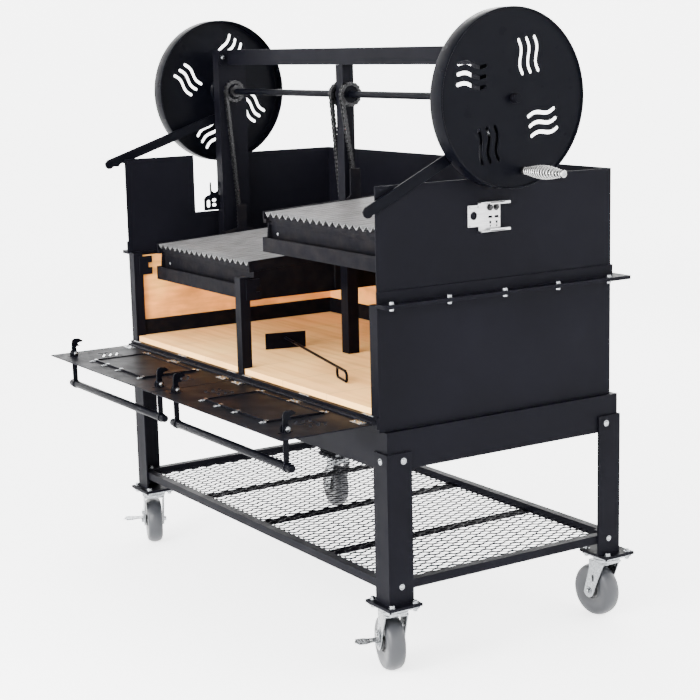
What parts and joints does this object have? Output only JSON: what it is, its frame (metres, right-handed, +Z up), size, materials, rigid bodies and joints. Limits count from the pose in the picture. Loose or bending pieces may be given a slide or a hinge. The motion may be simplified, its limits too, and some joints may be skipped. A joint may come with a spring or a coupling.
{
  "type": "wood fire grill cart",
  "caption": "Open wood-fire grill on a caster cart: lined firebox with drop-down doors, V-bar grates raised by chains and hand wheels, brake levers and a mesh shelf",
  "frame": {"origin": "on the floor, below the middle of the bounding box of the cart with its doors open", "axes": "+X to the cook's right, along the shafts; +Y to the back, away from the doors; +Z up"},
  "size_m": [1.94, 1.128, 1.737],
  "materials": {
    "black": "satin black powder coat",
    "satin": "semi-gloss black",
    "stainless": "brushed stainless",
    "nickel": "bright nickel coil",
    "zinc": "bright zinc plate",
    "wheel": "grey moulded tread",
    "clay": "matte fired clay board",
    "cream": "matte cream refractory",
    "chain": "oiled dark steel"
  },
  "bodies": {
    "cart": {"apron_frame": "black", "firebox_shell": "black", "front_sill": "black", "front_post_middle": "black", "guard_left": "black", "guard_rear": "black", "guard_right": "black", "rim_angle": "black", "post_left": "black", "post_centre": "black", "post_right": "black", "top_beam": "black", "shelf_frame": "black", "shelf_mesh": "black", "leg_front_left": "black", "leg_front_right": "black", "leg_rear_left": "black", "leg_rear_right": "black", "brick_left": "clay", "brick_right": "clay", "brick_rear": "clay", "brick_floor": "cream", "lining_band": "satin", "spit_motor_bracket": "stainless", "spit_cradle": "satin", "chain_left_outer": "chain", "chain_left_inner": "chain", "chain_right_inner": "chain", "chain_right_outer": "chain"},
    "lift_left": {"carriage_left": "black", "grate_tray_left": "black", "grate_left": "stainless"},
    "winch_left": {"shaft_left": "satin", "hand_wheel_left": "satin"},
    "grip_left": {"spring_grip_left": "nickel"},
    "lever_left": {"brake_lever_left": "satin"},
    "front_door_left": {"door_left": "black", "door_cover_left": "black"},
    "latch_left": {"latch_handle_left": "satin"},
    "lift_right": {"carriage_right": "black", "grate_tray_right": "black", "grate_right": "stainless"},
    "winch_right": {"shaft_right": "satin", "hand_wheel_right": "satin"},
    "grip_right": {"spring_grip_right": "nickel"},
    "lever_right": {"brake_lever_right": "satin"},
    "front_door_right": {"door_right": "black", "door_cover_right": "black"},
    "latch_right": {"latch_handle_right": "satin"},
    "swivel_front_right": {"caster_fork_front_right": "zinc"},
    "roller_front_right": {"caster_wheel_front_right": "wheel"},
    "pedal_front_right": {"brake_pedal_front_right": "zinc"},
    "swivel_rear_right": {"caster_fork_rear_right": "zinc"},
    "roller_rear_right": {"caster_wheel_rear_right": "wheel"},
    "swivel_front_left": {"caster_fork_front_left": "zinc"},
    "roller_front_left": {"caster_wheel_front_left": "wheel"},
    "pedal_front_left": {"brake_pedal_front_left": "zinc"},
    "swivel_rear_left": {"caster_fork_rear_left": "zinc"},
    "roller_rear_left": {"caster_wheel_rear_left": "wheel"},
    "rake": {"ember_rake": "satin"}
  },
  "joints": [
    {"name": "grate_lift_left", "type": "slide", "parent": "cart", "child": "lift_left", "axis": [0, 0, 1], "range_m": [-0.06, 0.3]},
    {"name": "wheel_turn_left", "type": "hinge", "parent": "cart", "child": "winch_left", "pos_m": [-0.78, 0.113, 1.505], "axis": [1, 0, 0], "range_deg": [-111.9, 555.5]},
    {"name": "grip_spin_left", "type": "hinge", "parent": "winch_left", "child": "grip_left", "pos_m": [-0.888, 0.28339, 1.58445], "axis": [1, 0, 0], "continuous": true},
    {"name": "brake_lever_left_turn", "type": "hinge", "parent": "cart", "child": "lever_left", "pos_m": [-0.742, 0.076, 1.418], "axis": [-1, 0, 0], "range_deg": [-6.5, 13.5]},
    {"name": "door_left_hinge", "type": "hinge", "parent": "cart", "child": "front_door_left", "pos_m": [-0.366, -0.2875, 0.6935], "axis": [-1, 0, 0], "range_deg": [0, 90]},
    {"name": "latch_left_swing", "type": "hinge", "parent": "front_door_left", "child": "latch_left", "pos_m": [-0.357, -0.512, 0.702], "axis": [1, 0, 0], "range_deg": [-15, 15]},
    {"name": "grate_lift_right", "type": "slide", "parent": "cart", "child": "lift_right", "axis": [0, 0, 1], "range_m": [-0.215, 0.145]},
    {"name": "wheel_turn_right", "type": "hinge", "parent": "cart", "child": "winch_right", "pos_m": [0.78, 0.113, 1.505], "axis": [1, 0, 0], "range_deg": [-398.4, 269]},
    {"name": "grip_spin_right", "type": "hinge", "parent": "winch_right", "child": "grip_right", "pos_m": [0.888, 0.13981, 1.31892], "axis": [1, 0, 0], "continuous": true},
    {"name": "brake_lever_right_turn", "type": "hinge", "parent": "cart", "child": "lever_right", "pos_m": [0.742, 0.076, 1.418], "axis": [-1, 0, 0], "range_deg": [0, 20]},
    {"name": "door_right_hinge", "type": "hinge", "parent": "cart", "child": "front_door_right", "pos_m": [0.366, -0.2875, 0.6935], "axis": [-1, 0, 0], "range_deg": [0, 90]},
    {"name": "latch_right_swing", "type": "hinge", "parent": "front_door_right", "child": "latch_right", "pos_m": [0.357, -0.512, 0.702], "axis": [1, 0, 0], "range_deg": [-15, 15]},
    {"name": "swivel_front_right_turn", "type": "hinge", "parent": "cart", "child": "swivel_front_right", "pos_m": [0.7185, -0.2295, 0.18], "axis": [0, 0, 1], "continuous": true},
    {"name": "roller_front_right_spin", "type": "hinge", "parent": "swivel_front_right", "child": "roller_front_right", "pos_m": [0.68005, -0.21848, 0.076], "axis": [-0.2756, -0.9613, 0], "continuous": true},
    {"name": "pedal_front_right_hinge", "type": "hinge", "parent": "swivel_front_right", "child": "pedal_front_right", "pos_m": [0.67493, -0.25446, 0.11], "axis": [-0.9613, 0.2756, 0], "range_deg": [0, 15]},
    {"name": "swivel_rear_right_turn", "type": "hinge", "parent": "cart", "child": "swivel_rear_right", "pos_m": [0.7185, 0.5115, 0.18], "axis": [0, 0, 1], "continuous": true},
    {"name": "roller_rear_right_spin", "type": "hinge", "parent": "swivel_rear_right", "child": "roller_rear_right", "pos_m": [0.67852, 0.5101, 0.076], "axis": [0.0349, -0.9994, 0], "continuous": true},
    {"name": "swivel_front_left_turn", "type": "hinge", "parent": "cart", "child": "swivel_front_left", "pos_m": [-0.7185, -0.2295, 0.18], "axis": [0, 0, 1], "continuous": true},
    {"name": "roller_front_left_spin", "type": "hinge", "parent": "swivel_front_left", "child": "roller_front_left", "pos_m": [-0.75584, -0.21516, 0.076], "axis": [-0.3584, -0.9336, 0], "continuous": true},
    {"name": "pedal_front_left_hinge", "type": "hinge", "parent": "swivel_front_left", "child": "pedal_front_left", "pos_m": [-0.76408, -0.25057, 0.11], "axis": [-0.9336, 0.3584, 0], "range_deg": [0, 15]},
    {"name": "swivel_rear_left_turn", "type": "hinge", "parent": "cart", "child": "swivel_rear_left", "pos_m": [-0.7185, 0.5115, 0.18], "axis": [0, 0, 1], "continuous": true},
    {"name": "roller_rear_left_spin", "type": "hinge", "parent": "swivel_rear_left", "child": "roller_rear_left", "pos_m": [-0.75789, 0.51845, 0.076], "axis": [-0.1736, -0.9848, 0], "continuous": true},
    {"name": "rake_lift_out", "type": "slide", "parent": "cart", "child": "rake", "axis": [0, 0, 1], "range_m": [0, 0.08]}
  ],
  "couplings": [
    {"joint": "wheel_turn_left", "follows": "grate_lift_left", "rad_per_m": 32.258},
    {"joint": "wheel_turn_right", "follows": "grate_lift_right", "rad_per_m": 32.258}
  ]
}
